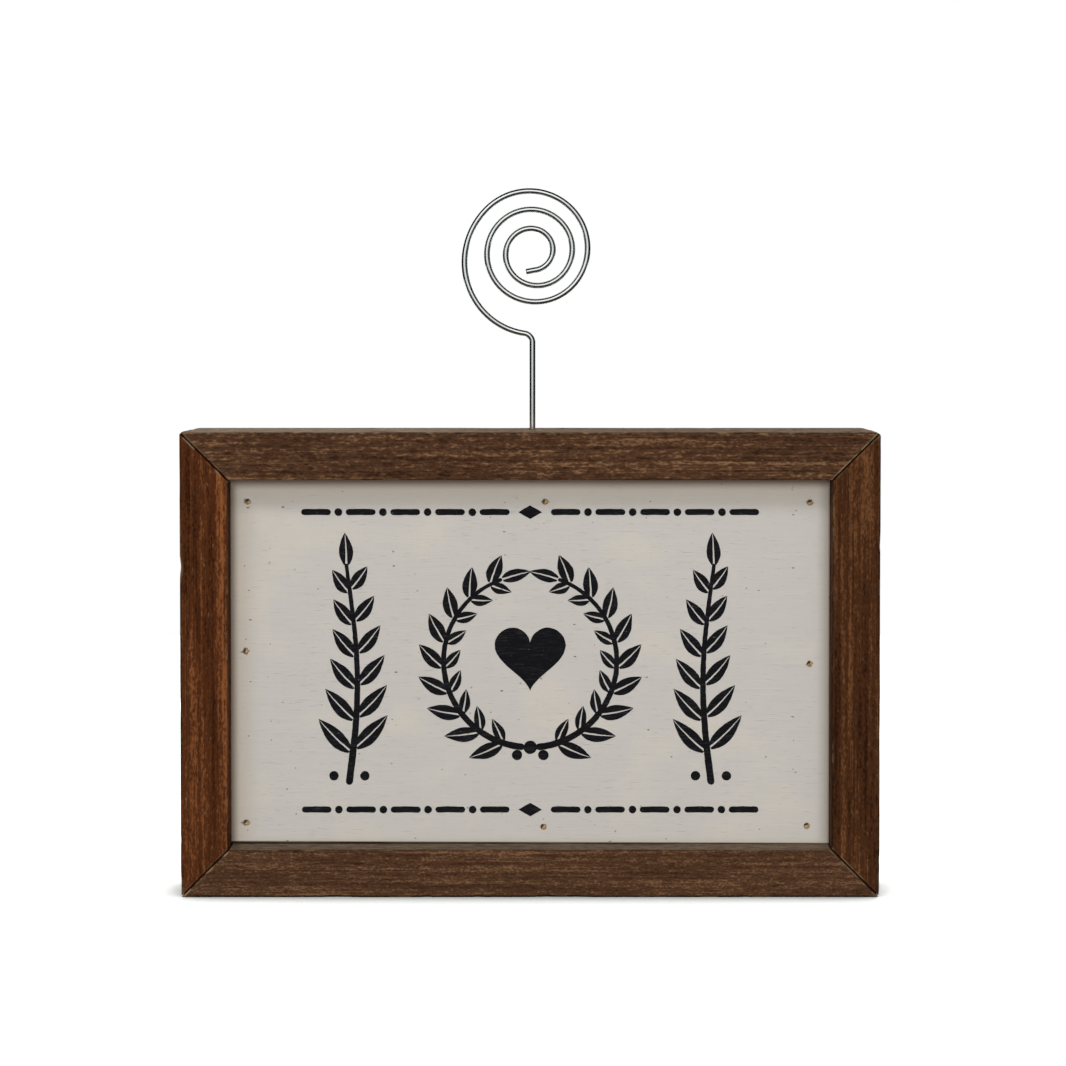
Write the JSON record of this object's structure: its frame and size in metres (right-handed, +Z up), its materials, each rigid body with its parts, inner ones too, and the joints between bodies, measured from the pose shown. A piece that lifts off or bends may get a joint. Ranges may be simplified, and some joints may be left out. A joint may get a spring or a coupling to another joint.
{
  "type": "picture holder",
  "caption": "Small framed sign that stands on its lower edge, with a spiral wire photo clip standing in its top edge.",
  "frame": {"origin": "middle of the base, on the surface that the sign stands on", "axes": "+Z up, -Y towards the viewer in front, +X to the viewer's right"},
  "size_m": [0.1524, 0.019, 0.1547],
  "materials": {
    "stained_wood": "rough, dark brown stain, worn at the edges",
    "painted_board": "off-white flat paint over fine grain",
    "raw_wood": "bare, sawn",
    "brad_steel": "dull, tarnished",
    "bright_wire": "bright drawn wire",
    "ink": "flat black print, worn along the grain",
    "filler": "dry wood filler over the brad heads"
  },
  "bodies": {
    "sign": {"frame_top_rail": "stained_wood", "frame_bottom_rail": "stained_wood", "frame_left_stile": "stained_wood", "frame_right_stile": "stained_wood", "sign_board": "painted_board", "cleat_top": "raw_wood", "cleat_bottom": "raw_wood", "cleat_left": "raw_wood", "cleat_right": "raw_wood", "board_brad_top_left": "brad_steel", "board_brad_top_middle": "brad_steel", "board_brad_top_right": "brad_steel", "board_brad_middle_left": "brad_steel", "board_brad_middle_right": "brad_steel", "board_brad_bottom_left": "brad_steel", "board_brad_bottom_middle": "brad_steel", "board_brad_bottom_right": "brad_steel", "mitre_brad_top_left_front": "brad_steel", "mitre_brad_top_left_back": "brad_steel", "mitre_brad_bottom_left_front": "brad_steel", "mitre_brad_bottom_left_back": "brad_steel", "mitre_brad_top_right_front": "brad_steel", "mitre_brad_top_right_back": "brad_steel", "mitre_brad_bottom_right_front": "brad_steel", "mitre_brad_bottom_right_back": "brad_steel", "cleat_brad_left_upper": "brad_steel", "cleat_brad_left_lower": "brad_steel", "cleat_brad_right_upper": "brad_steel", "cleat_brad_right_lower": "brad_steel", "cleat_brad_top_left": "brad_steel", "cleat_brad_top_right": "brad_steel", "cleat_brad_bottom_left": "brad_steel", "cleat_brad_bottom_right": "brad_steel"},
    "clip": {"photo_clip": "bright_wire"}
  },
  "joints": [
    {"name": "clip_swivel", "type": "hinge", "parent": "sign", "child": "clip", "pos_m": [0.0005, 0.0024, 0.1016], "axis": [0, 0, 1], "continuous": true}
  ]
}
